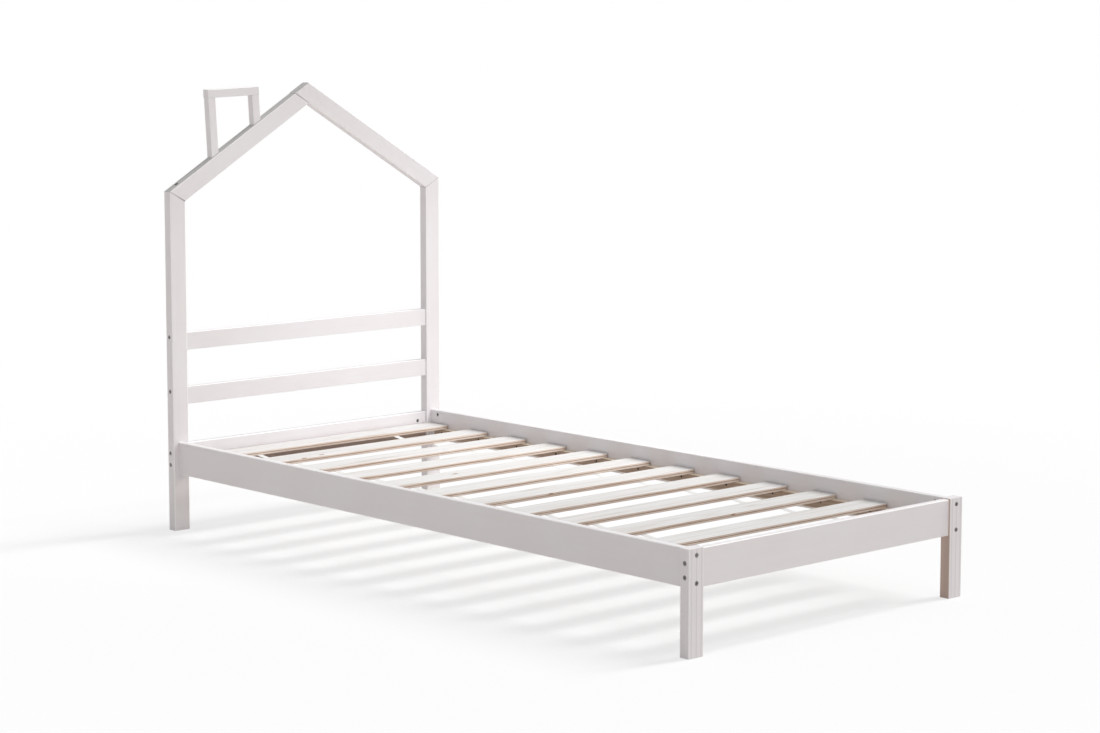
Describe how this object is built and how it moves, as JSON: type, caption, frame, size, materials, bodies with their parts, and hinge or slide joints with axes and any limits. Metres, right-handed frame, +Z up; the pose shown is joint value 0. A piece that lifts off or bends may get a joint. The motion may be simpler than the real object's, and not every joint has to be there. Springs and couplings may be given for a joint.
{
  "type": "house frame bed",
  "caption": "Low single bed frame in painted timber, with a house-outline headboard, a chimney loop on its roof, side rails, short foot legs and a loose roll of slats strung on webbing.",
  "frame": {"origin": "on the floor, at the centre of the footprint", "axes": "+Y from the foot to the head, +Z up, +X across the bed, with the chimney on the -X side"},
  "size_m": [0.98, 2.06, 1.2544],
  "materials": {
    "painted_timber": "white satin paint, smooth, with a faint grain",
    "slat_pine": "planed pine, bare, with small knots",
    "ledger_pine": "planed pine, bare",
    "dowel_beech": "bare beech, fluted",
    "bolt_steel": "dark zinc plate",
    "nut_steel": "bright zinc plate",
    "screw_steel": "black phosphate",
    "webbing": "woven white polyester webbing"
  },
  "bodies": {
    "bed_frame": {"head_post_left": "painted_timber", "head_post_right": "painted_timber", "rafter_left": "painted_timber", "rafter_right": "painted_timber", "chimney_outer_upright": "painted_timber", "chimney_inner_upright": "painted_timber", "chimney_top": "painted_timber", "headboard_rail_upper": "painted_timber", "headboard_rail_lower": "painted_timber", "head_end_rail": "painted_timber", "foot_rail": "painted_timber", "side_rail_left": "painted_timber", "side_rail_right": "painted_timber", "foot_leg_left": "painted_timber", "foot_leg_right": "painted_timber", "slat_ledger_left": "ledger_pine", "slat_ledger_right": "ledger_pine", "side_rail_bolts": "bolt_steel", "end_rail_bolts": "bolt_steel", "barrel_nuts": "nut_steel", "ledger_screws": "screw_steel", "roof_screws": "screw_steel", "chimney_screws": "screw_steel", "dowels": "dowel_beech"},
    "slat_roll": {"slat_01": "slat_pine", "slat_02": "slat_pine", "slat_03": "slat_pine", "slat_04": "slat_pine", "slat_05": "slat_pine", "slat_06": "slat_pine", "slat_07": "slat_pine", "slat_08": "slat_pine", "slat_09": "slat_pine", "slat_10": "slat_pine", "slat_11": "slat_pine", "slat_12": "slat_pine", "slat_ribbon_left": "webbing", "slat_ribbon_right": "webbing", "ribbon_staples": "nut_steel"}
  },
  "joints": [
    {"name": "slat_roll_lift", "type": "slide", "parent": "bed_frame", "child": "slat_roll", "axis": [0, 0, 1], "range_m": [0, 0.2]}
  ]
}
